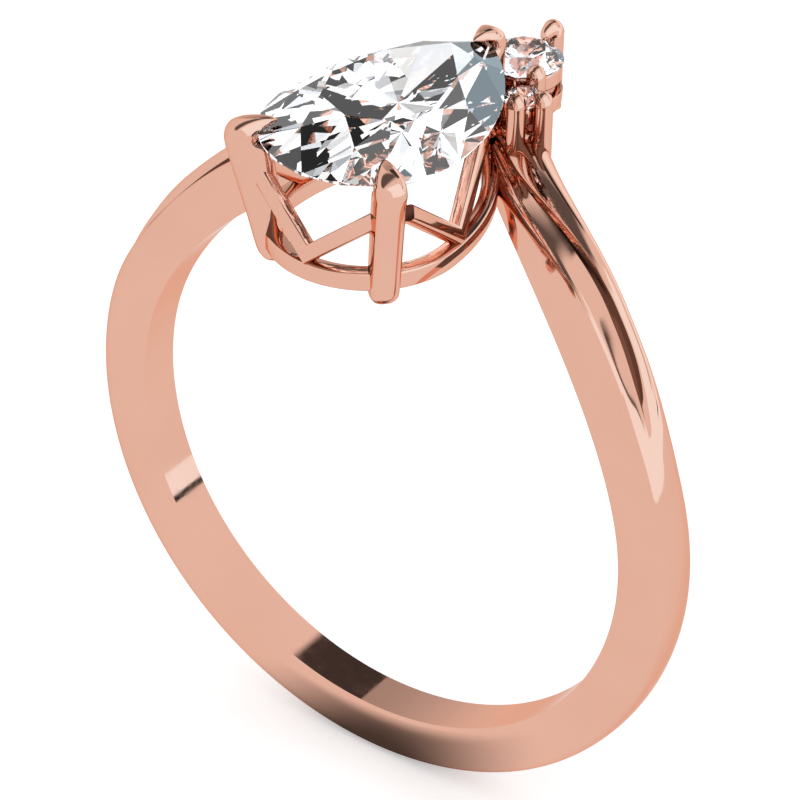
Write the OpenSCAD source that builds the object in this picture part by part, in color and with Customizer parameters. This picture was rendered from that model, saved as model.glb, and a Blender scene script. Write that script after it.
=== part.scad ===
// Pear-cut engagement ring with a chevron shank and a three-stone crown behind the pear's tip.
// Millimetres. The origin is the centre of the finger hole, Y is the finger's axis, +Z is up
// through the head, and the ring is a mirror image of itself across the plane X = 0.

/* [Shank] */
// Radius of the finger hole
finger_r = 8.65; // [8.4:0.05:8.9]
// Width of the band along the finger, at its bottom
band_w = 1.4; // [1.2:0.05:1.8]
// Radius of the band's outer surface, at its bottom
crest_r = 10.36; // [10.2:0.02:10.6]
// How far the chevron sweeps back at its apex
sweep_reach = 5.15; // [4.6:0.05:5.6]
// Angle from the top at which the sweep starts
sweep_start = 80; // [70:1:90]
// How much wider the band gets at its apex
flare = 1.05; // [0.7:0.05:1.2]
// How much lower the outer surface is under the small stones
crest_drop = 0.95; // [0.6:0.05:1]

/* [Pear stone and its head] */
// Half of the pear's greatest width
pear_half_w = 3.07; // [2.9:0.01:3.2]
// Y of the pear's greatest width
pear_wide_y = -1.1; // [-1.3:0.05:-0.9]
// Y of the pear's tip
pear_tip_y = 4.9; // [4.7:0.05:5]
// Height of the girdle
girdle_z = 12.2; // [12:0.05:12.4]
// Height of the crown above the girdle
crown_h = 0.86; // [0.7:0.02:1]
// Depth of the pavilion below the girdle
pavilion_h = 2.65; // [2.4:0.05:2.8]
// How far the base rail lies inside the girdle's outline
rail_inset = 0.1; // [0:0.02:0.3]
// Height of the base rail
rail_h = 0.56; // [0.4:0.02:0.7]
// Thickness of the base rail
rail_t = 0.5; // [0.4:0.02:0.6]
// Thickness of the square gallery wires
wire_t = 0.46; // [0.36:0.01:0.5]
// Width of a claw prong
prong_w = 0.9; // [0.8:0.02:1]

/* [Crown of small stones] */
// Radius of the back stone
back_r = 1.17; // [1.1:0.01:1.2]
// Y of the back stone
back_y = 6.75; // [6.7:0.05:6.85]
// Radius of a side stone
side_r = 0.64; // [0.55:0.01:0.7]
// X of the side stones
side_x = 1.12; // [1.08:0.01:1.2]
// Y of the side stones
side_y = 5.05; // [4.95:0.05:5.15]
// Height of the small stones' girdles
small_z = 10.68; // [10.6:0.02:10.8]
// How much higher the back stone stands than the side stones
back_rise = 0.17; // [0.1:0.01:0.2]
// Radius of a small prong
small_prong_r = 0.29; // [0.25:0.01:0.31]

/* [Hidden] */
$fn = 48;

gold = "#dfa88f";
ice = "#eef2f6";
right = 1;
left = -1;

// --- helpers ---------------------------------------------------------------------------------

// 0 at from, 1 at to, with a smooth start and end
function ease(v, from, to) =
    let (t = max(0, min(1, (v - from) / (to - from))))
    t * t * (3 - 2 * t);

// A closed skin over rings of points: each ring is a list of the same length
module loft(rings, closed) {
    n = len(rings[0]);
    m = len(rings);
    points = [for (ring = rings) for (p = ring) p];
    sides = [
        for (i = [0 : (closed ? m - 1 : m - 2)]) for (j = [0 : n - 1])
            let (a = i * n + j, b = i * n + (j + 1) % n)
            let (c = ((i + 1) % m) * n + (j + 1) % n, d = ((i + 1) % m) * n + j)
            each [[a, b, c], [a, c, d]]
    ];
    first = [for (j = [n - 1 : -1 : 0]) j];
    last = [for (j = [0 : n - 1]) (m - 1) * n + j];
    polyhedron(points, closed ? sides : concat(sides, [first, last]), convexity = 8);
}

// A bar of square section between two points, with two of its faces upright
module bar(p, q, t) {
    v = q - p;
    translate(p)
        rotate([0, acos(v.z / norm(v)), atan2(v.y, v.x)])
            translate([-t / 2, -t / 2, 0])
                cube([t, t, norm(v)]);
}

// The finger, as a straight rod that every lower end is trimmed to
module finger(r, from, to) {
    translate([0, to, 0])
        rotate([90, 0, 0])
            cylinder(r = r, h = to - from, $fn = 180);
}

// --- shank -----------------------------------------------------------------------------------

apex_round = 2.5;       // degrees over which the chevron's point is rounded
shoulder_start = 72;    // degrees from the top at which the crease starts
shoulder_full = 50;     // degrees from the top at which the crease is full
relief = 0.05;          // how much wider the finger hole is under the swept shoulders
relief_y = 0.95;        // where that starts
skin_in = 0.3;          // how far the loft runs inside the finger hole before it is bored
sweep_power = 2.42;

// How far the band is swept back at an angle from the top
function swept(a) =
    sweep_reach * pow(max(0, 1 - sqrt(a * a + apex_round * apex_round) / sweep_start), sweep_power);

// Slope of the sweep, in millimetres back for each millimetre round the finger
function sweep_slope(a) = (swept(a) - swept(a + 1)) / (finger_r * PI / 180);

// Width of the band along the finger: wider where it runs at a slant
function width_at(a) =
    (band_w + flare * pow(max(0, 1 - a / 66), 3)) * sqrt(1 + pow(sweep_slope(a), 2));

function front_at(a) = swept(a) - band_w / 2;
function crest_at(a) = crest_r - crest_drop * ease(a, 42, 3);

// Where the crease lies across the band, from 0 at its front to 1 at its back
function crease_at(a) = 0.43 + 0.26 * ease(a, 66, 45) - 0.42 * ease(a, 42, 6);

// The plain section of the band's bottom half, from its front round to its back: [across, radius]
function plain_half() = [
    [1, finger_r - skin_in], [1.07, 8.83], [1.13, 9.1], [1.14, 9.5],
    [1.14, 9.78], [1.12, 9.97], [1.05, 10.13], [0.9, 10.25], [0.62, 10.32]
];
function plain_section() = concat(
    [for (p = plain_half()) [0.5 - p.x / 2, p.y]],
    [[0.5, crest_r]],
    [for (i = [len(plain_half()) - 1 : -1 : 0]) [0.5 + plain_half()[i].x / 2, plain_half()[i].y]]
);

// The shoulder's section: a leaning front face, a hollow flank up to the crease, and a round back
function shoulder_section(a) =
    let (r = crest_at(a), c = crease_at(a), w = width_at(a))
    let (mid = (c + 0.766) / 1.766, half = 1 - mid, rise = 0.9 * half * w)
    concat(
        [
            [0, finger_r - skin_in], [0.02, finger_r + 0.2 * (r - finger_r)],
            [0.05, finger_r + 0.45 * (r - finger_r)], [0.09, finger_r + 0.68 * (r - finger_r)],
            [0.12, r - 0.27], [0.18, r - 0.19], [0.45 * c + 0.1, r - 0.15], [0.75 * c + 0.05, r - 0.12]
        ],
        [for (t = [140 : -20 : 0]) [mid + half * cos(t), r + 0.07 + rise * (sin(t) - 0.643)]],
        [
            [1, finger_r + 0.45 * (r - 0.643 * rise - finger_r)],
            [1, finger_r + 0.2 * (r - 0.643 * rise - finger_r)], [1, finger_r - skin_in]
        ]
    );

// One ring of the shank's skin, at an angle clockwise from the top as seen from the front
function shank_ring(angle) =
    let (a = abs(angle), s = ease(a, shoulder_start, shoulder_full))
    let (plain = plain_section(), shaped = shoulder_section(a))
    [
        for (i = [0 : len(plain) - 1])
            let (p = plain[i] * (1 - s) + shaped[i] * s)
            [p.y * sin(angle), front_at(a) + p.x * width_at(a), p.y * cos(angle)]
    ];

module shank() {
    color(gold)
        difference() {
            loft([for (k = [0 : 89]) shank_ring(-180 + 4 * k)], true);
            finger(finger_r, -3, relief_y);
            finger(finger_r + relief, relief_y, 12);
            tip_prong_seat();
            small_seats();
        }
}

// --- pear and its head -----------------------------------------------------------------------

// The pear's outline, drawn inside the girdle by an inset: a half circle and two arcs to the tip
pear_arc_r = (pow(pear_half_w, 2) + pow(pear_tip_y - pear_wide_y, 2)) / (2 * pear_half_w);

function pear_outline(inset) =
    let (far = acos((pear_arc_r - pear_half_w) / (pear_arc_r - inset)), steps = 8)
    let (shift = pear_arc_r - pear_half_w, r = pear_arc_r - inset)
    concat(
        [
            for (t = [0 : steps - 1])
                [r * cos(far * t / steps) - shift, pear_wide_y + r * sin(far * t / steps)]
        ],
        [
            for (t = [steps : -1 : 1])
                [shift - r * cos(far * t / steps), pear_wide_y + r * sin(far * t / steps)]
        ],
        [for (t = [180 : 15 : 345]) (pear_half_w - inset) * [cos(t), sin(t)] + [0, pear_wide_y]]
    );

girdle_t = 0.12;
table_share = 0.56;
culet_share = 0.04;
pear_heart_y = 0.35;    // where the pear's pavilion comes to its point

module pear_diamond() {
    around = pear_outline(0);
    heart = [0, pear_heart_y];
    color(ice)
        loft([
            [
                for (p = around)
                    let (q = heart + culet_share * (p - heart))
                    [q.x, q.y, girdle_z - pavilion_h]
            ],
            [for (p = around) [p.x, p.y, girdle_z - girdle_t / 2]],
            [for (p = around) [p.x, p.y, girdle_z + girdle_t / 2]],
            [
                for (p = around)
                    let (q = heart + table_share * (p - heart))
                    [q.x, q.y, girdle_z + crown_h]
            ]
        ], false);
}

rail_z = 8.7;

// The chevron's front face in plan, which the base rail is soldered against
module chevron_front() {
    reach = [for (a = [-24 : 2 : 24]) [(finger_r + 0.4) * sin(a), front_at(abs(a))]];
    translate([0, 0, finger_r - 1])
        linear_extrude(3)
            polygon(concat([[-6, 9]], reach, [[6, 9]]));
}

module base_rail() {
    color(gold)
        difference() {
            translate([0, 0, rail_z])
                linear_extrude(rail_h)
                    difference() {
                        polygon(pear_outline(rail_inset));
                        polygon(pear_outline(rail_inset + rail_t));
                    }
            chevron_front();
        }
}

prong_angle = 44;        // of the two front prongs, round the half circle's centre
tip_foot_z = 9.35;
tip_prong_y = pear_tip_y - 0.08;

// A claw: a round shoulder that runs out into a beak over the stone, which lies towards -X
module claw(d, beak, rise) {
    sphere(d = d);
    rotate([0, rise - 90, 0])
        cylinder(d1 = 0.94 * d, d2 = 0.28 * d, h = beak);
}

// The notch that the pear's edge is set in
module pear_seat() {
    translate([0, 0, girdle_z - 0.4])
        linear_extrude(0.74)
            polygon(pear_outline(-0.01));
}

// A side prong's outline, seen from its side: [outward from the girdle's edge, height over the girdle]
side_prong_outline = [
    [-0.6, -4.03], [-0.2, -4.03], [0.03, -3.86], [0.1, -3.56], [0.35, -2.5], [0.62, -1.4], [0.86, -0.5],
    [0.94, -0.2], [0.95, 0.02], [0.9, 0.22], [0.77, 0.4], [0.48, 0.53], [0.14, 0.585], [-0.17, 0.58],
    [-0.45, 0.52], [-0.55, 0.46], [-0.5, 0.4], [-0.3, 0.33], [-0.14, 0.3], [-0.22, -0.3], [-0.38, -0.5],
    [-0.53, -1.4], [-0.7, -2.5], [-0.85, -3.6], [-0.8, -3.88]
];
beak_start = 0.15;       // where the claw starts to narrow, and how far it runs in
beak_end = -0.6;
beak_half_w = 0.06;

module side_prong(hand) {
    half = prong_w / 2;
    color(gold)
        difference() {
            translate([0, pear_wide_y, girdle_z])
                rotate([0, 0, hand == right ? -prong_angle : 180 + prong_angle])
                    translate([pear_half_w, 0, 0])
                        difference() {
                            rotate([90, 0, 0])
                                linear_extrude(prong_w, center = true)
                                    polygon(side_prong_outline);
                            for (side = [-1, 1])
                                linear_extrude(1)
                                    polygon([
                                        [beak_start, side * half], [beak_end, side * beak_half_w],
                                        [beak_end, side * prong_w], [beak_start, side * prong_w]
                                    ]);
                        }
            finger(finger_r + 0.02, -8, 2);
            pear_seat();
        }
}

module tip_prong_seat() {
    translate([0, tip_prong_y, tip_foot_z])
        cylinder(d = prong_w, h = 3);
}

module prong_tip() {
    color(gold)
        difference() {
            translate([0, tip_prong_y, 0]) {
                translate([0, 0, tip_foot_z])
                    cylinder(d = prong_w, h = girdle_z + 0.1 - tip_foot_z);
                translate([0, 0, girdle_z + 0.1])
                    rotate([0, 0, 90])
                        claw(prong_w, 0.8, 25);
            }
            pear_seat();
        }
}

// A gallery wire: a V from one prong down to the base rail and up to the next prong
module gallery_wire(from, low, to) {
    color(gold)
        union() {
            bar(from, low, wire_t);
            bar(to, low, wire_t);
            translate(low)
                rotate([0, 0, atan2(to.y - from.y, to.x - from.x)])
                    rotate([90, 0, 0])
                        cylinder(d = wire_t, h = wire_t, center = true);
        }
}

wire_top_z = 11.25;
wire_low_z = rail_z + rail_h + wire_t / 2 - 0.02;
rail_r = pear_half_w - rail_inset - wire_t / 2;
front_wire_end = [2.2, -3.3, wire_top_z];

module gallery_wire_front() {
    gallery_wire(
        [-front_wire_end.x, front_wire_end.y, front_wire_end.z],
        [0, pear_wide_y - rail_r, wire_low_z],
        front_wire_end
    );
}

module gallery_wire_side(hand) {
    gallery_wire(
        [hand * 2.6, -2.85, wire_top_z],
        [hand * rail_r, -0.65, wire_low_z],
        [hand * 0.3, 4.75, wire_top_z]
    );
}

// --- crown of small stones -------------------------------------------------------------------

back_spot = [0, back_y, back_rise];
function side_spot(hand) = [hand * side_x, side_y, 0];

// Share of its radius that a round brilliant's table, crown and pavilion take
round_table = 0.56;
round_crown = 0.3;
round_pavilion = 0.86;
seat_gap = 0.3;         // between a collar and the base below it
base_z = 9.1;

module round_brilliant(r) {
    color(ice)
        translate([0, 0, small_z])
            rotate_extrude()
                polygon([
                    [0, -round_pavilion * r], [r, -0.03], [r, 0.03],
                    [round_table * r, round_crown * r], [0, round_crown * r]
                ]);
}

// The upper ring of a small setting, bored to the stone's own cone
module accent_collar(r) {
    wall_r = r - 0.05;
    color(gold)
        translate([0, 0, small_z])
            rotate_extrude()
                polygon([
                    [wall_r, -0.03 - 0.05 * round_pavilion], [wall_r, -0.58], [wall_r - 0.2, -0.58],
                    [wall_r - 0.2, -0.03 - 0.25 * round_pavilion]
                ]);
}

// The lower cup of a small setting, which stands in the shank
module accent_base(r) {
    top = small_z - 0.58 - seat_gap;
    color(gold)
        rotate_extrude()
            polygon([
                [0, base_z], [r - 0.2, base_z], [r - 0.03, base_z + 0.25], [r, top],
                [r - 0.25, top], [0, top - 0.2]
            ]);
}

// A small prong: a straight pin with a claw that leans over the stone, which lies towards -X
module small_prong(r, foot_z, over) {
    top = small_z + 0.22;
    difference() {
        union() {
            translate([0, 0, foot_z])
                cylinder(r = r, h = top - foot_z);
            translate([0, 0, top])
                claw(2 * r, over, 15);
        }
        finger(finger_r + relief + 0.01, -20, 20);
    }
}

// Where each small prong stands: [its name's side, x, y, radius, foot height, turn to its stone]
inner_x = 0.95;
inner_y = 5.95;
function prong_spot(hand, turn) = side_spot(hand) + 0.87 * [hand * cos(turn), sin(turn), 0];
side_turn = -15;
front_turn = -70;

module small_seats() {
    for (hand = [left, right]) {
        translate([hand * inner_x, inner_y, 8.9])
            cylinder(r = small_prong_r, h = 3);
        translate(prong_spot(hand, side_turn))
            cylinder(r = small_prong_r, h = 12);
        translate(prong_spot(hand, front_turn) + [0, 0, 8.9])
            cylinder(r = small_prong_r, h = 3);
        translate(side_spot(hand) + [0, 0, base_z])
            cylinder(r = side_r, h = 3);
    }
    translate(back_spot + [0, 0, base_z])
        cylinder(r = back_r, h = 3);
}

module stones_cut() {
    translate(back_spot)
        round_brilliant(back_r);
    for (hand = [left, right])
        translate(side_spot(hand))
            round_brilliant(side_r);
}

module accent_prong(spot, r, foot_z, over, turn) {
    color(gold)
        difference() {
            translate(spot)
                rotate([0, 0, turn])
                    small_prong(r, foot_z, over);
            stones_cut();
        }
}

module accent_prong_inner(hand) {
    accent_prong([hand * inner_x, inner_y, 0], small_prong_r, 8.9, 0.32, hand == right ? -60 : 240);
}

module accent_prong_side(hand) {
    turn = hand == right ? side_turn : 180 - side_turn;
    accent_prong(prong_spot(hand, side_turn), small_prong_r, 8, 0.42, turn);
}

module accent_prong_front(hand) {
    turn = hand == right ? front_turn : 180 - front_turn;
    accent_prong(prong_spot(hand, front_turn), small_prong_r, 8.9, 0.42, turn);
}

module accent_prong_back() {
    accent_prong([0, back_y + back_r + 0.32, 0.1], 0.34, 8.45, 0.58, 90);
}

// --- assembly --------------------------------------------------------------------------------

shank();
base_rail();
side_prong(left);  // prong_left
side_prong(right);  // prong_right
prong_tip();
gallery_wire_front();
gallery_wire_side(left);  // gallery_wire_left
gallery_wire_side(right);  // gallery_wire_right
pear_diamond();
translate(back_spot) round_brilliant(back_r);  // accent_diamond_back
translate(side_spot(left)) round_brilliant(side_r);  // accent_diamond_left
translate(side_spot(right)) round_brilliant(side_r);  // accent_diamond_right
translate(back_spot) accent_collar(back_r);  // accent_collar_back
translate(side_spot(left)) accent_collar(side_r);  // accent_collar_left
translate(side_spot(right)) accent_collar(side_r);  // accent_collar_right
translate(back_spot) accent_base(back_r);  // accent_base_back
translate(side_spot(left)) accent_base(side_r);  // accent_base_left
translate(side_spot(right)) accent_base(side_r);  // accent_base_right
accent_prong_back();
accent_prong_inner(left);  // accent_prong_inner_left
accent_prong_inner(right);  // accent_prong_inner_right
accent_prong_side(left);  // accent_prong_side_left
accent_prong_side(right);  // accent_prong_side_right
accent_prong_front(left);  // accent_prong_front_left
accent_prong_front(right);  // accent_prong_front_right
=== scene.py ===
import math

import bmesh
import bpy
from mathutils import Matrix, Vector


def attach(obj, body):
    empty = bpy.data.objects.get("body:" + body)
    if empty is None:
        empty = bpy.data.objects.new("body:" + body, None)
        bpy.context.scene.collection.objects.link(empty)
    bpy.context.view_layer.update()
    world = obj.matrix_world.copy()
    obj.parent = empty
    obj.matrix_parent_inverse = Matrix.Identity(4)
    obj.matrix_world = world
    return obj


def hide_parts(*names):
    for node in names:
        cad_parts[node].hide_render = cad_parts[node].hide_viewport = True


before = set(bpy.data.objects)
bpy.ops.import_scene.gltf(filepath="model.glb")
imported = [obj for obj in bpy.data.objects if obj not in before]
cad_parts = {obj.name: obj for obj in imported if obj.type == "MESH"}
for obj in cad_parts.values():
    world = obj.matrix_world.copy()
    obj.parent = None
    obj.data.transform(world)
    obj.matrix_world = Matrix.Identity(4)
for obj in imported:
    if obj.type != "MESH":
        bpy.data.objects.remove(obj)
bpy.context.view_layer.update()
MM = 0.001

# Sizes of the ring in millimetres, as in the CAD
FINGER_R = 8.65
BAND_W = 1.4
CREST_R = 10.36
SWEEP_REACH = 5.15
SWEEP_START = 80.0
SWEEP_POWER = 2.42
APEX_ROUND = 2.5
FLARE = 1.05
CREST_DROP = 0.95
SHOULDER_START = 72.0
SHOULDER_FULL = 50.0

PEAR_HALF_W = 3.07
PEAR_WIDE_Y = -1.1
PEAR_TIP_Y = 4.9
GIRDLE_Z = 12.2
CROWN_H = 0.86
PAVILION_H = 2.65
RAIL_Z = 8.7
RAIL_H = 0.56
RAIL_T = 0.5
RAIL_INSET = 0.1
WIRE_T = 0.46
PRONG_W = 0.9
PRONG_ANGLE = 44.0

BACK_R = 1.17
BACK_Y = 6.75
BACK_RISE = 0.17
SIDE_R = 0.64
SIDE_X = 1.12
SIDE_Y = 5.05
SMALL_Z = 10.68
SMALL_PRONG_R = 0.29


# --- small helpers ---------------------------------------------------------------------------


def ease(v, a, b):
    t = max(0.0, min(1.0, (v - a) / (b - a)))
    return t * t * (3 - 2 * t)


def lerp(a, b, t):
    return tuple(x + (y - x) * t for x, y in zip(a, b))


def spline(points, steps, sharp=(), closed=False):
    """A Catmull-Rom curve through points, with steps pieces to a span.

    It keeps a corner at each point whose index is in sharp."""
    n = len(points)
    spans = n if closed else n - 1
    out = []
    for i in range(spans):
        p1, p2 = points[i], points[(i + 1) % n]
        before = points[(i - 1) % n] if closed or i > 0 else None
        after = points[(i + 2) % n] if closed or i + 2 < n else None
        if before is None or i in sharp:
            before = tuple(2 * a - b for a, b in zip(p1, p2))
        if after is None or (i + 1) % n in sharp:
            after = tuple(2 * b - a for a, b in zip(p1, p2))
        for k in range(steps):
            t = k / steps
            out.append(
                tuple(
                    0.5
                    * (
                        2 * b
                        + (c - a) * t
                        + (2 * a - 5 * b + 4 * c - d) * t * t
                        + (3 * b - a - 3 * c + d) * t**3
                    )
                    for a, b, c, d in zip(before, p1, p2, after)
                )
            )
    if not closed:
        out.append(tuple(points[-1]))
    return out


def make_mesh(name, points, faces, material, node=(), sharp_deg=35.0, smooth=True):
    """A piece from points in millimetres. Edges that turn by more than sharp_deg stay crisp."""
    mesh = bpy.data.meshes.new(name)
    mesh.from_pydata([(p[0] * MM, p[1] * MM, p[2] * MM) for p in points], [], faces)
    mesh.validate()
    obj = bpy.data.objects.new(name, mesh)
    bpy.context.scene.collection.objects.link(obj)
    mesh.materials.append(material)
    bm = bmesh.new()
    bm.from_mesh(mesh)
    bmesh.ops.remove_doubles(bm, verts=bm.verts, dist=1e-7)
    bmesh.ops.recalc_face_normals(bm, faces=bm.faces)
    limit = math.radians(sharp_deg)
    for face in bm.faces:
        face.smooth = smooth
    for edge in bm.edges:
        if len(edge.link_faces) == 2 and edge.calc_face_angle(0.0) > limit:
            edge.smooth = False
    bm.to_mesh(mesh)
    bm.free()
    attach(obj, "root")
    if node:
        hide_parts(*node)
    return obj


def loft(rings, closed=False):
    """Points and faces of a skin over rings of the same length, capped unless it closes on itself."""
    n, m = len(rings[0]), len(rings)
    points = [p for ring in rings for p in ring]
    faces = []
    for i in range(m if closed else m - 1):
        for j in range(n):
            a, b = i * n + j, i * n + (j + 1) % n
            c, d = ((i + 1) % m) * n + (j + 1) % n, ((i + 1) % m) * n + j
            faces.append((a, b, c, d))
    if not closed:
        faces.append(tuple(range(n - 1, -1, -1)))
        faces.append(tuple((m - 1) * n + j for j in range(n)))
    return points, faces


def lathe(profile, centre, steps=64):
    """A turned piece: profile is (radius, height) points, closed on itself or on the axis."""
    rings = []
    for i in range(steps):
        a = 2 * math.pi * i / steps
        rings.append(
            [(centre[0] + r * math.cos(a), centre[1] + r * math.sin(a), z) for r, z in profile]
        )
    return loft(rings, closed=True)


# --- materials -------------------------------------------------------------------------------


class Tree:
    """A node tree that is built by short calls."""

    def __init__(self, holder):
        holder.use_nodes = True
        self.tree = holder.node_tree
        self.tree.nodes.clear()

    def add(self, kind):
        return self.tree.nodes.new(kind)

    def set(self, node, **values):
        for key, value in values.items():
            socket = node.inputs[key]
            if isinstance(value, bpy.types.NodeSocket):
                self.tree.links.new(value, socket)
            else:
                socket.default_value = value

    def link(self, a, b):
        self.tree.links.new(a, b)

    def math(self, operation, a, b=0.0):
        node = self.tree.nodes.new("ShaderNodeMath")
        node.operation = operation
        for i, v in enumerate((a, b)):
            if isinstance(v, bpy.types.NodeSocket):
                self.tree.links.new(v, node.inputs[i])
            else:
                node.inputs[i].default_value = v
        return node.outputs[0]

    def span(self, value, low, high, soft=0.004):
        """1 where value lies between low and high, with edges that are soft wide."""
        up = self.ramp(value, low - soft, low + soft)
        down = self.ramp(value, high - soft, high + soft, 1.0, 0.0)
        return self.math("MULTIPLY", up, down)

    def ramp(self, value, a, b, low=0.0, high=1.0):
        """A smooth change from low where value is a to high where it is b."""
        node = self.tree.nodes.new("ShaderNodeMapRange")
        node.interpolation_type = "SMOOTHSTEP"
        self.tree.links.new(value, node.inputs["Value"])
        node.inputs["From Min"].default_value = a
        node.inputs["From Max"].default_value = b
        node.inputs["To Min"].default_value = low
        node.inputs["To Max"].default_value = high
        return node.outputs["Result"]

    def blend(self, base, value, mask):
        """base where mask is 0 and value where it is 1."""
        part = self.math("MULTIPLY", mask, self.math("SUBTRACT", value, base))
        return self.math("ADD", base, part)

    def colours(self, mask, first, second):
        """The first colour where mask is 0 and the second where it is 1."""
        node = self.add("ShaderNodeMix")
        node.data_type = "RGBA"
        self.link(mask, node.inputs[0])
        node.inputs[6].default_value = (*first, 1)
        node.inputs[7].default_value = (*second, 1)
        return node.outputs[2]

    def shaders(self, mask, first, second):
        """The first shader where mask is 0 and the second where it is 1."""
        node = self.add("ShaderNodeMixShader")
        self.link(mask, node.inputs[0])
        self.link(first, node.inputs[1])
        self.link(second, node.inputs[2])
        return node.outputs[0]


def rose_gold():
    """Polished rose gold: a mirror with faint polishing swirls and a slight play of colour."""
    mat = bpy.data.materials.new("rose_gold")
    t = Tree(mat)
    out = t.add("ShaderNodeOutputMaterial")
    bsdf = t.add("ShaderNodeBsdfPrincipled")
    t.link(bsdf.outputs[0], out.inputs["Surface"])
    place = t.add("ShaderNodeTexCoord")
    cloud = t.add("ShaderNodeTexNoise")
    t.set(cloud, Vector=place.outputs["Object"], Scale=260.0, Detail=3.0, Roughness=0.55)
    colour = t.colours(t.ramp(cloud.outputs["Fac"], 0.3, 0.7), (0.89, 0.5, 0.375), (0.91, 0.52, 0.395))
    t.link(colour, bsdf.inputs["Base Color"])
    swirl = t.add("ShaderNodeTexNoise")
    t.set(swirl, Vector=place.outputs["Object"], Scale=2600.0, Detail=4.0, Roughness=0.6)
    t.link(t.ramp(swirl.outputs["Fac"], 0.3, 0.75, 0.045, 0.09), bsdf.inputs["Roughness"])
    bump = t.add("ShaderNodeBump")
    t.set(bump, Height=swirl.outputs["Fac"], Strength=0.035, Distance=0.00001)
    t.link(bump.outputs[0], bsdf.inputs["Normal"])
    bsdf.inputs["Metallic"].default_value = 1.0
    bsdf.inputs["Specular Tint"].default_value = (0.95, 0.66, 0.55, 1)
    return mat


def diamond():
    """Clear diamond, with the faintest cloud of colour."""
    mat = bpy.data.materials.new("diamond")
    t = Tree(mat)
    out = t.add("ShaderNodeOutputMaterial")
    bsdf = t.add("ShaderNodeBsdfPrincipled")
    t.link(bsdf.outputs[0], out.inputs["Surface"])
    place = t.add("ShaderNodeTexCoord")
    cloud = t.add("ShaderNodeTexNoise")
    t.set(cloud, Vector=place.outputs["Object"], Scale=320.0, Detail=2.0, Roughness=0.5)
    colour = t.colours(t.ramp(cloud.outputs["Fac"], 0.35, 0.65), (0.99, 0.992, 1.0), (1.0, 0.997, 0.992))
    t.link(colour, bsdf.inputs["Base Color"])
    bsdf.inputs["Roughness"].default_value = 0.0
    bsdf.inputs["IOR"].default_value = 2.417
    bsdf.inputs["Transmission Weight"].default_value = 1.0
    return mat


GOLD = rose_gold()
ICE = diamond()


# --- shank -----------------------------------------------------------------------------------


def swept(a):
    reach = 1 - math.sqrt(a * a + APEX_ROUND * APEX_ROUND) / SWEEP_START
    return SWEEP_REACH * max(0.0, reach) ** SWEEP_POWER


def width_at(a):
    slope = (swept(a) - swept(a + 1)) / math.radians(FINGER_R)
    return (BAND_W + FLARE * max(0.0, 1 - a / 66) ** 3) * math.sqrt(1 + slope * slope)


def front_at(a):
    return swept(a) - BAND_W / 2


def crest_at(a):
    return CREST_R - CREST_DROP * ease(a, 42, 3)


def crease_at(a):
    return 0.43 + 0.26 * ease(a, 66, 45) - 0.42 * ease(a, 42, 6)


SPAN_STEPS = 4        # pieces to a span of a section's curve
CREASE = 8            # which point of the shoulder's section is the crease
SHANK_RINGS = 540
PLAIN = [
    (0.0, FINGER_R), (-0.03, 8.8), (-0.062, 9.08), (-0.07, 9.45), (-0.07, 9.76), (-0.06, 9.97),
    (-0.022, 10.14), (0.06, 10.255), (0.21, 10.32), (0.37, 10.352), (0.5, 10.36), (0.66, 10.348),
    (0.79, 10.32), (0.94, 10.255), (1.022, 10.14), (1.06, 9.97), (1.07, 9.76), (1.07, 9.45),
    (1.062, 9.08), (1.03, 8.8), (1.0, FINGER_R),
]
PLAIN_CURVE = spline(PLAIN, SPAN_STEPS)


def shoulder_curve(a):
    """The shoulder's section: a leaning front face, a flank up to the crease, and a tube behind it."""
    r, c, w = crest_at(a), crease_at(a), width_at(a)
    h = r - FINGER_R
    mid = (c + 0.82) / 1.82
    half = 1 - mid
    rise = 0.92 * half * w
    top = r + 0.08 + 0.357 * 0.9 * half * w
    axis = top - rise
    points = [
        (0.0, FINGER_R), (0.012, FINGER_R + 0.2 * h), (0.035, FINGER_R + 0.45 * h),
        (0.075, FINGER_R + 0.68 * h), (0.105, r - 0.29), (0.145, r - 0.222), (0.2, r - 0.19),
        (0.5 * c + 0.1, r - 0.155), (c, r - 0.13),
    ]
    points += [
        (mid + half * math.cos(math.radians(t)), axis + rise * math.sin(math.radians(t)))
        for t in (145, 130, 112, 90, 66, 42, 20, 0)
    ]
    back = axis - FINGER_R
    points += [
        (1.0, FINGER_R + 0.66 * back), (1.0, FINGER_R + 0.33 * back), (1.0, FINGER_R + 0.15 * back),
        (1.0, FINGER_R),
    ]
    return spline(points, SPAN_STEPS, sharp=(CREASE,))


def shank():
    rings = []
    for i in range(SHANK_RINGS):
        angle = -180 + 360 * i / SHANK_RINGS
        a = abs(angle)
        s = ease(a, SHOULDER_START, SHOULDER_FULL)
        shaped = shoulder_curve(a) if s > 0 else PLAIN_CURVE
        w, front = width_at(a), front_at(a)
        sin, cos = math.sin(math.radians(angle)), math.cos(math.radians(angle))
        rings.append(
            [
                (r * sin, front + u * w, r * cos)
                for u, r in (lerp(p, q, s) for p, q in zip(PLAIN_CURVE, shaped))
            ]
        )
    points, faces = loft(rings, closed=True)
    make_mesh("shank_body", points, faces, GOLD, ["shank"], sharp_deg=28)


# --- pear and its head -----------------------------------------------------------------------

PEAR_HEART = (0.0, 0.35)   # where the pear's pavilion comes to its point
PEAR_DEPTH = PAVILION_H - 0.12   # below the girdle's lower edge, a little less than in the CAD
TABLE = 0.56               # share of a stone's outline that its table takes
ROUND_CROWN = 0.3          # shares of its radius that a round stone's crown and pavilion take
ROUND_PAVILION = 0.84

ARC_R = (PEAR_HALF_W**2 + (PEAR_TIP_Y - PEAR_WIDE_Y) ** 2) / (2 * PEAR_HALF_W)
ARC_SHIFT = ARC_R - PEAR_HALF_W


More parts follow.
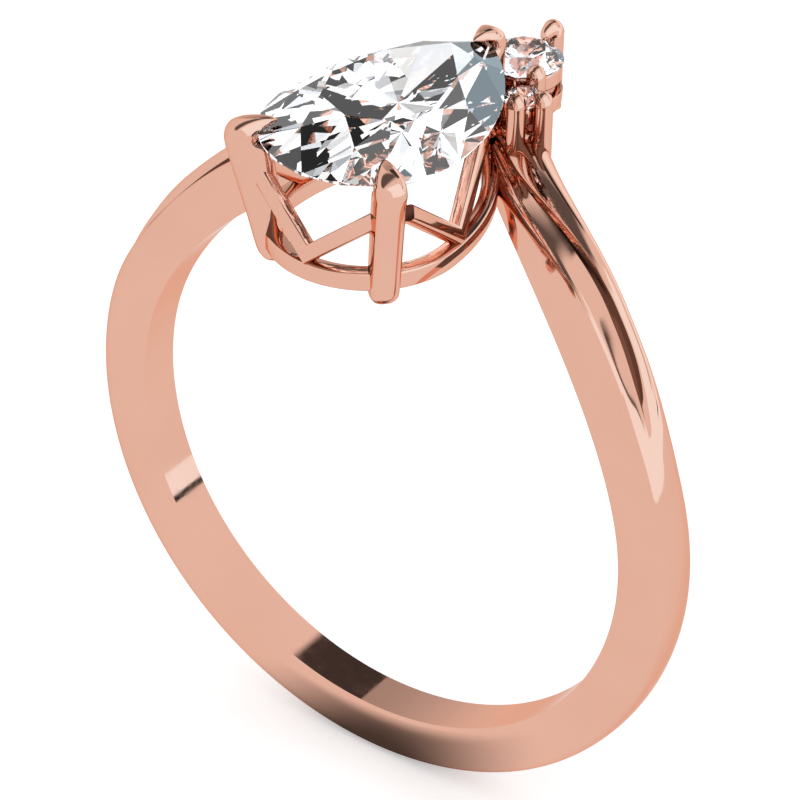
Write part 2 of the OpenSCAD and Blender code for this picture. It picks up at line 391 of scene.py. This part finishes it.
def pear_point(t, inset=0.0):
    """A point of the pear's outline for t from 0 to 1: from +X round the tip, -X and the round end."""
    far = math.acos(ARC_SHIFT / (ARC_R - inset))
    r = ARC_R - inset
    t %= 1.0
    if t < 0.25:
        b = far * t * 4
        return (r * math.cos(b) - ARC_SHIFT, PEAR_WIDE_Y + r * math.sin(b))
    if t < 0.5:
        b = far * (0.5 - t) * 4
        return (ARC_SHIFT - r * math.cos(b), PEAR_WIDE_Y + r * math.sin(b))
    b = 2 * math.pi * t
    return ((PEAR_HALF_W - inset) * math.cos(b), PEAR_WIDE_Y + (PEAR_HALF_W - inset) * math.sin(b))


def brilliant(name, outline, heart, z, crown_h, pavilion_h, table, node, girdle_t=0.11, arc=5):
    """A modified brilliant: a table, 8 stars, 8 kites, 16 upper and 16 lower girdle facets, 8 mains.

    outline(k) is the girdle's point at k sixteenths of the way round. Each facet is one flat face, and the
    girdle's edge is scalloped where the facets meet its curve."""
    hx, hy = heart
    star, lower = 0.78, 0.3   # shares of the outline where the star and the lower facets come to a point
    upper_z, lower_z = z + girdle_t / 2, z - girdle_t / 2

    def at(k, share):
        x, y = outline(k)
        return (hx + share * (x - hx), hy + share * (y - hy))

    points, faces = [], []

    def add(x, y, h):
        points.append((x, y, h))
        return len(points) - 1

    tilt = math.cos(math.radians(22.5))
    star_z = upper_z + crown_h * (1 - star * tilt) / (1 - table)
    low_z = lower_z - pavilion_h * (1 - lower * tilt)
    tables = [add(*at(2 * k, table), upper_z + crown_h) for k in range(8)]
    stars = [add(*at(2 * k + 1, star), star_z) for k in range(8)]
    lows = [add(*at(2 * k + 1, lower), low_z) for k in range(8)]
    culet = add(hx, hy, lower_z - pavilion_h)
    upper, under = [], []
    for j in range(16):
        for edge, ridge, level in ((upper, stars, upper_z), (under, lows, lower_z)):
            px, py, pz = points[ridge[j // 2]]
            ax, ay = outline(j)
            bx, by = outline(j + 1)
            normal = Vector((ax - px, ay - py, level - pz)).cross(Vector((bx - px, by - py, level - pz)))
            row = []
            for i in range(arc):
                x, y = outline(j + i / arc)
                h = pz - (normal.x * (x - px) + normal.y * (y - py)) / normal.z
                drop = 0.42 * girdle_t   # the girdle is never cut right through
                row.append(add(x, y, level if i == 0 else max(level - drop, min(level + drop, h))))
            edge.append(row)
    faces.append(tuple(tables))
    for k in range(8):
        before = (k - 1) % 8
        faces.append((tables[k], stars[k], tables[(k + 1) % 8]))
        faces.append((tables[k], upper[2 * k][0], stars[k]))
        faces.append((tables[k], stars[before], upper[2 * k][0]))
        faces.append((culet, lows[k], under[2 * k][0]))
        faces.append((culet, under[2 * k][0], lows[before]))
    for j in range(16):
        following = (j + 1) % 16
        faces.append(tuple([stars[j // 2]] + upper[j] + [upper[following][0]]))
        faces.append(tuple([lows[j // 2]] + [under[following][0]] + under[j][::-1]))
        ring_a = upper[j] + [upper[following][0]]
        ring_b = under[j] + [under[following][0]]
        for i in range(arc):
            faces.append((ring_a[i], ring_b[i], ring_b[i + 1], ring_a[i + 1]))
    make_mesh(name, points, faces, ICE, node, smooth=False)


def pear_stone():
    # the outline starts at the tip, so that one main facet points at it
    def outline(k):
        return pear_point(0.25 + k / 16)

    brilliant("pear_brilliant", outline, PEAR_HEART, GIRDLE_Z, CROWN_H, PEAR_DEPTH, TABLE, ["pear_diamond"])


def round_stone(name, x, y, rise, r, node):
    def outline(k):
        b = 2 * math.pi * (k + 0.5) / 16
        return (x + r * math.cos(b), y + r * math.sin(b))

    brilliant(
        name, outline, (x, y), SMALL_Z + rise, ROUND_CROWN * r, ROUND_PAVILION * r, TABLE, node,
        girdle_t=0.05, arc=3,
    )


RAIL_RINGS = 192


def base_rail():
    """The pear-shaped rail that the prongs are soldered to, with eased edges."""
    e = 0.06
    profile = [
        (0, e), (0, RAIL_H - e), (e * 0.3, RAIL_H - e * 0.3), (e, RAIL_H), (RAIL_T - e, RAIL_H),
        (RAIL_T - e * 0.3, RAIL_H - e * 0.3), (RAIL_T, RAIL_H - e), (RAIL_T, e),
        (RAIL_T - e * 0.3, e * 0.3), (RAIL_T - e, 0), (e, 0), (e * 0.3, e * 0.3),
    ]
    rings = []
    for i in range(RAIL_RINGS):
        rings.append([(*pear_point(i / RAIL_RINGS, RAIL_INSET + d), RAIL_Z + h) for d, h in profile])
    points, faces = loft(rings, closed=True)
    make_mesh("head_rail", points, faces, GOLD, ["base_rail"], sharp_deg=50)


# A prong's section, from its stone side at 0 to its outer face at 1, and across it from -1 to 1
SECTION_HALF = [
    (0.0, 0.0), (0.0, 0.4), (0.025, 0.62), (0.08, 0.8), (0.17, 0.93), (0.3, 0.99), (0.42, 1.0),
    (0.62, 0.99), (0.74, 0.955), (0.84, 0.87), (0.91, 0.74), (0.955, 0.57), (0.985, 0.35), (0.997, 0.15),
]
SECTION = SECTION_HALF + [(1.0, 0.0)] + [(u, -v) for u, v in SECTION_HALF[:0:-1]]
CLAW_SHARP = 40       # degrees that an edge of a claw turns before it shows


def prong_rings(stations):
    """Rings across a prong: a station is (inner x, inner z, outer x, outer z, half width)."""
    rings = []
    for x0, z0, x1, z1, half in spline(stations, SPAN_STEPS):
        rings.append([(x0 + (x1 - x0) * u, half * v, z0 + (z1 - z0) * u) for u, v in SECTION])
    return rings


def placed(rings, spot, turn):
    """Rings moved to spot and turned about Z by turn degrees."""
    c, s = math.cos(math.radians(turn)), math.sin(math.radians(turn))
    return [
        [(spot[0] + c * x - s * y, spot[1] + s * x + c * y, spot[2] + z) for x, y, z in ring]
        for ring in rings
    ]


def claw_stations(reach=0.55, out=0.96):
    """The claw of a prong, from the girdle's level up over the crown, which lies towards -X.

    reach is how far its tip goes in over the stone, and out how far it stands outside it."""
    hw = PRONG_W / 2
    return [
        (0.03, -0.02, out - 0.01, -0.02, hw),
        (0.03, 0.1, out - 0.02, 0.06, hw),
        (0.01, 0.2, out - 0.06, 0.22, hw * 0.97),
        (-0.05, 0.27, out * 0.8, 0.4, hw * 0.88),
        (-0.14, 0.3, out * 0.5, 0.53, hw * 0.74),
        (-0.3 * reach - 0.08, 0.31, out * 0.15, 0.585, hw * 0.56),
        (-0.62 * reach - 0.04, 0.34, -0.3 * reach, 0.58, hw * 0.38),
        (-0.9 * reach, 0.4, -0.82 * reach, 0.52, hw * 0.17),
        (-reach, 0.44, -reach, 0.46, hw * 0.05),
    ]


def side_prong(hand):
    foot = [
        (-0.52, -4.06, -0.34, -4.05, 0.08),
        (-0.72, -4.0, -0.16, -3.98, 0.27),
        (-0.83, -3.86, -0.02, -3.82, 0.39),
        (-0.85, -3.6, 0.1, -3.56, 0.435),
        (-0.7, -2.5, 0.35, -2.5, 0.445),
        (-0.53, -1.4, 0.62, -1.4, 0.45),
        (-0.38, -0.5, 0.86, -0.5, 0.45),
        (-0.27, -0.24, 0.92, -0.24, 0.45),
        (-0.06, -0.1, 0.94, -0.1, 0.45),
    ]
    spot = (
        hand * PEAR_HALF_W * math.cos(math.radians(PRONG_ANGLE)),
        PEAR_WIDE_Y - PEAR_HALF_W * math.sin(math.radians(PRONG_ANGLE)),
        GIRDLE_Z,
    )
    turn = -PRONG_ANGLE if hand > 0 else 180 + PRONG_ANGLE
    side = "right" if hand > 0 else "left"
    points, faces = loft(placed(prong_rings(foot + claw_stations()), spot, turn))
    make_mesh("claw_" + side, points, faces, GOLD, ["prong_" + side], sharp_deg=CLAW_SHARP)


def tip_prong():
    foot = [
        (-0.29, -2.85, 0.61, -2.85, 0.44),
        (-0.29, -1.6, 0.61, -1.6, 0.44),
        (-0.29, -0.5, 0.61, -0.5, 0.45),
        (-0.27, -0.24, 0.61, -0.24, 0.45),
        (-0.06, -0.1, 0.61, -0.1, 0.45),
    ]
    spot = (0, PEAR_TIP_Y - 0.24, GIRDLE_Z)
    rings = prong_rings(foot + claw_stations(reach=0.62, out=0.62))
    points, faces = loft(placed(rings, spot, 90))
    make_mesh("claw_tip", points, faces, GOLD, ["prong_tip"], sharp_deg=CLAW_SHARP)


def vee(name, start, low, end, node):
    """A square wire bent to a sharp V, with its edges eased."""
    a, b, c = Vector(start), Vector(low), Vector(end)
    side = (a - b).cross(c - b).normalized()
    rings = []
    h = WIRE_T / 2
    e = 0.09              # how far an eased edge reaches along each face
    k = 0.3 * e
    outline = [
        (h, h - e), (h - k, h - k), (h - e, h), (-h + e, h), (-h + k, h - k), (-h, h - e),
        (-h, -h + e), (-h + k, -h + k), (-h + e, -h), (h - e, -h), (h - k, -h + k), (h, -h + e),
    ]
    d1, d2 = (b - a).normalized(), (c - b).normalized()
    for spot, along in ((a, d1), (b, None), (c, d2)):
        if along is None:
            up1, up2 = side.cross(d1), side.cross(d2)
            up = (up1 + up2).normalized()
            up = up / max(0.2, up.dot(up1))
        else:
            up = side.cross(along)
        rings.append([tuple(spot + up * u + side * v) for u, v in outline])
    points, faces = loft(rings)
    make_mesh(name, points, faces, GOLD, node, sharp_deg=50)


# --- crown of small stones -------------------------------------------------------------------


def collar(name, x, y, rise, r, node):
    wall = r - 0.05
    top, foot = SMALL_Z + rise - 0.08, SMALL_Z + rise - 0.58
    profile = [
        (wall - 0.02, top), (wall, top - 0.03), (wall + 0.01, top - 0.1), (wall + 0.01, foot + 0.06),
        (wall - 0.01, foot + 0.015), (wall - 0.05, foot), (wall - 0.2, foot), (wall - 0.2, top - 0.22),
        (wall - 0.1, top - 0.06),
    ]
    points, faces = lathe(profile, (x, y))
    make_mesh(name, points, faces, GOLD, node, sharp_deg=50)


def cup(name, x, y, rise, r, node):
    top, foot = SMALL_Z + rise - 0.88, rise + 9.12
    profile = [
        (0.0, foot), (r - 0.25, foot), (r - 0.09, foot + 0.08), (r - 0.02, foot + 0.24), (r, top - 0.05),
        (r - 0.02, top - 0.01), (r - 0.07, top), (r - 0.22, top), (r - 0.27, top - 0.04),
        (r * 0.4, top - 0.16), (0.0, top - 0.2),
    ]
    points, faces = lathe(profile, (x, y))
    make_mesh(name, points, faces, GOLD, node, sharp_deg=50)


PIN_SIDES = 20             # sides of the pins that hold the small stones
ACCENT_REACH = 0.87        # from an accent stone's middle to the pins around it
ACCENT_PINS = (("side", -15, 8.6), ("front", -70, 9.0))   # name, angle and height of the foot
INNER_PIN = (0.95, 5.95)   # where the pin between the back stone and a side stone stands
INNER_TURN = -60           # and which way it faces, in degrees


def small_claw(name, x, y, foot_z, turn, node, r=SMALL_PRONG_R, over=0.42, rise=0.0):
    """A round pin with a bead pressed over the stone's edge, which lies towards -X before the turn."""
    rings = []
    top = SMALL_Z + rise + 0.2
    stations = [
        (0.0, foot_z, 0.0, r), (0.0, (foot_z + top) / 2, 0.0, r), (0.0, top - 0.12, 0.0, r),
        (0.0, top + 0.02, 12.0, r * 1.02), (-0.05, top + 0.13, 45.0, r * 0.95),
        (-0.16, top + 0.16, 80.0, r * 0.76),
        (-0.7 * over, top + 0.11, 105.0, r * 0.5), (-over, top + 0.03, 118.0, r * 0.14),
    ]
    for cx, cz, lean, radius in spline(stations, SPAN_STEPS):
        c, s = math.cos(math.radians(lean)), math.sin(math.radians(lean))
        ring = []
        for i in range(PIN_SIDES):
            b = 2 * math.pi * i / PIN_SIDES
            px, py = radius * math.cos(b), radius * math.sin(b)
            ring.append((cx + c * px, py, cz + s * px))
        rings.append(ring)
    points, faces = loft(placed(rings, (x, y, 0.0), turn))
    make_mesh(name, points, faces, GOLD, node, sharp_deg=50)


def small_settings():
    spots = {
        "back": (0.0, BACK_Y, BACK_RISE, BACK_R),
        "left": (-SIDE_X, SIDE_Y, 0.0, SIDE_R),
        "right": (SIDE_X, SIDE_Y, 0.0, SIDE_R),
    }
    for side, spot in spots.items():
        round_stone("small_brilliant_" + side, *spot, ["accent_diamond_" + side])
        collar("small_collar_" + side, *spot, ["accent_collar_" + side])
        cup("small_cup_" + side, *spot, ["accent_base_" + side])
    small_claw(
        "small_claw_back", 0.0, BACK_Y + BACK_R + 0.33, 8.55, 90, ["accent_prong_back"],
        r=0.335, over=0.6, rise=BACK_RISE,
    )
    for hand, side in ((-1, "left"), (1, "right")):
        small_claw(
            "small_claw_inner_" + side, hand * INNER_PIN[0], INNER_PIN[1], 9.0,
            INNER_TURN if hand > 0 else 180 - INNER_TURN, ["accent_prong_inner_" + side], over=0.36,
        )
        for kind, angle, foot in ACCENT_PINS:
            b = math.radians(angle)
            small_claw(
                "small_claw_" + kind + "_" + side,
                hand * (SIDE_X + ACCENT_REACH * math.cos(b)), SIDE_Y + ACCENT_REACH * math.sin(b),
                foot, angle if hand > 0 else 180 - angle, ["accent_prong_" + kind + "_" + side],
            )


# --- the ring --------------------------------------------------------------------------------

shank()
base_rail()
side_prong(-1)
side_prong(1)
tip_prong()
WIRE_TOP = 11.25                                    # height of the wires' upper ends
WIRE_LOW = RAIL_Z + RAIL_H + WIRE_T / 2 - 0.02      # and of their bends, sunk a little into the rail
RAIL_R = PEAR_HALF_W - RAIL_INSET - WIRE_T / 2
vee(
    "vee_front", (-2.2, -3.3, WIRE_TOP), (0, PEAR_WIDE_Y - RAIL_R, WIRE_LOW), (2.2, -3.3, WIRE_TOP),
    ["gallery_wire_front"],
)
for sign, word in ((-1, "left"), (1, "right")):
    vee(
        "vee_" + word, (sign * 2.6, -2.85, WIRE_TOP), (sign * RAIL_R, -0.65, WIRE_LOW),
        (sign * 0.3, 4.75, WIRE_TOP), ["gallery_wire_" + word],
    )
pear_stone()
small_settings()


# --- floor, light and camera -----------------------------------------------------------------


FLOOR_HALF = 0.12                # metres from its middle to its edge
FLOOR_GAP = 0.00002              # metres that it lies below the ring
FOOT_NEAR, FOOT_FAR = 0.0012, 0.0062    # metres from the ring's foot between which the painted shadow that mirror rays see on the floor fades out
# the first is the painted shadow's brightness at the ring's foot, the second the floor's glow beyond it,
# both seen only by mirror rays
FOOT_PAINTED_SHADOW, FLOOR_BRIGHT = 0.07, 0.86


def floor():
    """A plain pale floor. Mirror rays see a painted shadow on it instead: an emission that is dark at the
    ring's foot and brightens away from it.
    """
    steps = 24
    points, faces = [], []
    for i in range(steps + 1):
        for j in range(steps + 1):
            x, y = (i / steps - 0.5) * 2 * FLOOR_HALF, (j / steps - 0.5) * 2 * FLOOR_HALF
            points.append((x, y, -CREST_R * MM - FLOOR_GAP))
    for i in range(steps):
        for j in range(steps):
            a = i * (steps + 1) + j
            faces.append((a, a + steps + 1, a + steps + 2, a + 1))
    mesh = bpy.data.meshes.new("studio_floor")
    mesh.from_pydata(points, [], faces)
    obj = bpy.data.objects.new("studio_floor", mesh)
    bpy.context.scene.collection.objects.link(obj)
    mat = bpy.data.materials.new("studio_floor")
    t = Tree(mat)
    out = t.add("ShaderNodeOutputMaterial")
    bsdf = t.add("ShaderNodeBsdfPrincipled")
    bsdf.inputs["Base Color"].default_value = (0.9, 0.9, 0.9, 1)
    bsdf.inputs["Roughness"].default_value = 0.22
    bsdf.inputs["Specular IOR Level"].default_value = 0.35
    bsdf.inputs["Emission Color"].default_value = (1, 1, 1, 1)
    bsdf.inputs["Emission Strength"].default_value = 0.3
    place = t.add("ShaderNodeTexCoord")
    reach = t.add("ShaderNodeVectorMath")
    reach.operation = "DISTANCE"
    t.link(place.outputs["Object"], reach.inputs[0])
    reach.inputs[1].default_value = (0.0, 0.0, -CREST_R * MM)
    # what mirror rays see of the floor: an emission with a painted shadow, dark at the ring's foot and
    # brighter away from it
    mirrored = t.add("ShaderNodeEmission")
    painted_foot_shadow = t.ramp(reach.outputs["Value"], FOOT_NEAR, FOOT_FAR, FOOT_PAINTED_SHADOW, FLOOR_BRIGHT)
    t.link(painted_foot_shadow, mirrored.inputs["Strength"])
    mirrored.inputs["Color"].default_value = (1, 1, 1, 1)
    path = t.add("ShaderNodeLightPath")
    seen = t.shaders(path.outputs["Is Glossy Ray"], bsdf.outputs[0], mirrored.outputs[0])
    t.link(seen, out.inputs["Surface"])
    mesh.materials.append(mat)
    obj.visible_transmission = False


ROOM = 0.86            # brightness of the room that the metal mirrors, a little less low down
PANEL = 1.4            # and of its panels
DIMMED = 0.78          # share of the light that a second mirroring loses
PALE_BLUE = (0.73, 0.9, 1.0)
FRONT_EDGE = math.radians(-31)          # turns round the finger's axis, from straight up
TOP_EDGE = math.radians(4.5)
WALL_EDGES = (math.radians(83.3), math.radians(94.4))
STRIPE_START = math.radians(80.7)


def studio_world():
    """A bright room with white panels and dark flags, which the metal mirrors.

    Rays that have been through a stone meet a brighter, patchy room, and the camera and matt
    surfaces meet plain white."""
    world = bpy.data.worlds.new("studio")
    bpy.context.scene.world = world
    t = Tree(world)
    out = t.add("ShaderNodeOutputWorld")
    place = t.add("ShaderNodeTexCoord")
    direction = place.outputs["Generated"]
    axes = t.add("ShaderNodeSeparateXYZ")
    t.link(direction, axes.inputs[0])
    x, y, z = axes.outputs
    path = t.add("ShaderNodeLightPath")

    def near(spot, inner, outer):
        """1 within inner degrees of a direction and 0 beyond outer degrees."""
        dot = t.add("ShaderNodeVectorMath")
        dot.operation = "DOT_PRODUCT"
        t.link(direction, dot.inputs[0])
        dot.inputs[1].default_value = Vector(spot).normalized()
        return t.ramp(dot.outputs["Value"], math.cos(math.radians(outer)), math.cos(math.radians(inner)))

    def every(*masks):
        """1 where all the masks are 1."""
        result = masks[0]
        for mask in masks[1:]:
            result = t.math("MULTIPLY", result, mask)
        return result

    def either(*masks):
        """1 where any of the masks is 1."""
        result = masks[0]
        for mask in masks[1:]:
            result = t.math("MAXIMUM", result, mask)
        return result

    def patches(scale, low, high):
        noise = t.add("ShaderNodeTexNoise")
        t.set(noise, Vector=direction, Scale=scale, Detail=1.0, Roughness=0.4)
        return t.ramp(noise.outputs["Fac"], low, high)

    # what the metal mirrors: first the room with its dark flags
    swing = t.math("ARCTAN2", x, z)
    room = t.ramp(z, -1.0, -0.6, 0.8, ROOM)
    room = t.blend(room, 0.12, every(t.ramp(z, 0.7, 0.82), t.ramp(x, 0.05, -0.15)))
    room = t.blend(room, 0.95, near((-0.3, 0.92, -0.27), 10, 20))
    slope = t.math("SUBTRACT", t.math("MULTIPLY", y, 0.728), t.math("MULTIPLY", z, 0.685))
    strip = every(
        t.span(slope, -0.01, 0.06, soft=0.02), t.ramp(y, 0.6, 0.57), t.span(x, 0.54, 0.92, soft=0.03)
    )
    room = t.blend(room, 0.1, strip)
    behind = t.ramp(y, 0.52, 0.56)
    dusk = t.blend(room, 0.42, t.ramp(swing, math.radians(-100), FRONT_EDGE))
    room = t.blend(room, dusk, every(t.span(swing, -3.0, FRONT_EDGE), behind))

    # then its white panels
    above = every(t.ramp(x, -0.36, -0.34), t.ramp(y, 0.69, 0.7), t.span(z, -0.08, 0.45))
    wall = every(t.span(swing, *WALL_EDGES), behind)
    side = every(t.ramp(x, 0.24, 0.27), t.span(y, -0.6, 0.4, soft=0.02), t.ramp(z, -0.09, -0.07))
    low = every(t.ramp(x, 0.59, 0.61), t.span(y, 0.38, 0.58), t.span(z, -0.08, 0.32, soft=0.02))
    panel = either(above, wall, side, low)
    room = t.blend(room, PANEL, panel)

    # and two flags in front of the panels
    stripe = every(t.span(swing, STRIPE_START, WALL_EDGES[0]), behind, t.ramp(y, 0.67, 0.65))
    room = t.blend(room, 0.02, stripe)
    flag = every(
        t.ramp(swing, TOP_EDGE, math.radians(0.5)), t.span(swing, FRONT_EDGE, 2.0),
        t.span(y, 0.6, 0.8, soft=0.02),
    )
    room = t.blend(room, 0.05, flag)

    # light that has been from mirror to mirror comes from the darker parts of the room
    again = t.ramp(path.outputs["Glossy Depth"], 1.2, 1.8)
    room = t.math("MULTIPLY", room, t.math("SUBTRACT", 1.0, t.math("MULTIPLY", again, DIMMED)))
    shade = t.add("ShaderNodeBackground")
    t.link(t.colours(either(panel, again), (1, 1, 1), PALE_BLUE), shade.inputs["Color"])
    t.link(room, shade.inputs["Strength"])

    # what the stones break up: mostly white, with grey and dark patches
    spark = t.ramp(z, -0.5, 0.6, 1.3, 1.8)
    spark = t.blend(spark, 0.75, patches(3.1, 0.58, 0.62))
    spark = t.blend(spark, 0.3, patches(4.3, 0.67, 0.7))
    spark = t.blend(spark, 0.35, near((0.473, -0.673, 0.569), 6, 11))
    glint = t.add("ShaderNodeBackground")
    fire = t.colours(patches(5.0, 0.45, 0.62), (1.0, 0.992, 0.985), (0.9, 0.935, 1.0))
    t.link(fire, glint.inputs["Color"])
    t.link(spark, glint.inputs["Strength"])

    plain = t.add("ShaderNodeBackground")
    plain.inputs["Color"].default_value = (1, 1, 1, 1)
    through = t.ramp(path.outputs["Transmission Depth"], 0.3, 0.7)
    mirrored = t.shaders(through, shade.outputs[0], glint.outputs[0])
    direct = either(path.outputs["Is Camera Ray"], path.outputs["Is Diffuse Ray"])
    t.link(t.shaders(direct, mirrored, plain.outputs[0]), out.inputs["Surface"])


def camera():
    """The photograph's angle: above and to the right of the front, 113 mm away."""
    place = Vector((53.1969, -74.9948, 65.9526)) * MM
    right = Vector((0.81307, 0.58204, 0.01215))
    up = Vector((-0.33911, 0.45653, 0.82255))
    back = right.cross(up).normalized()
    up = back.cross(right).normalized()
    data = bpy.data.cameras.new("camera")
    data.sensor_width = 36.0
    data.lens = 170.84
    data.clip_start = 0.001
    data.clip_end = 10.0
    obj = bpy.data.objects.new("camera", data)
    bpy.context.scene.collection.objects.link(obj)
    obj.matrix_world = Matrix(
        (
            (right.x, up.x, back.x, place.x),
            (right.y, up.y, back.y, place.y),
            (right.z, up.z, back.z, place.z),
            (0, 0, 0, 1),
        )
    )
    bpy.context.scene.camera = obj


floor()
studio_world()
camera()
bpy.context.scene.view_settings.view_transform = "Standard"
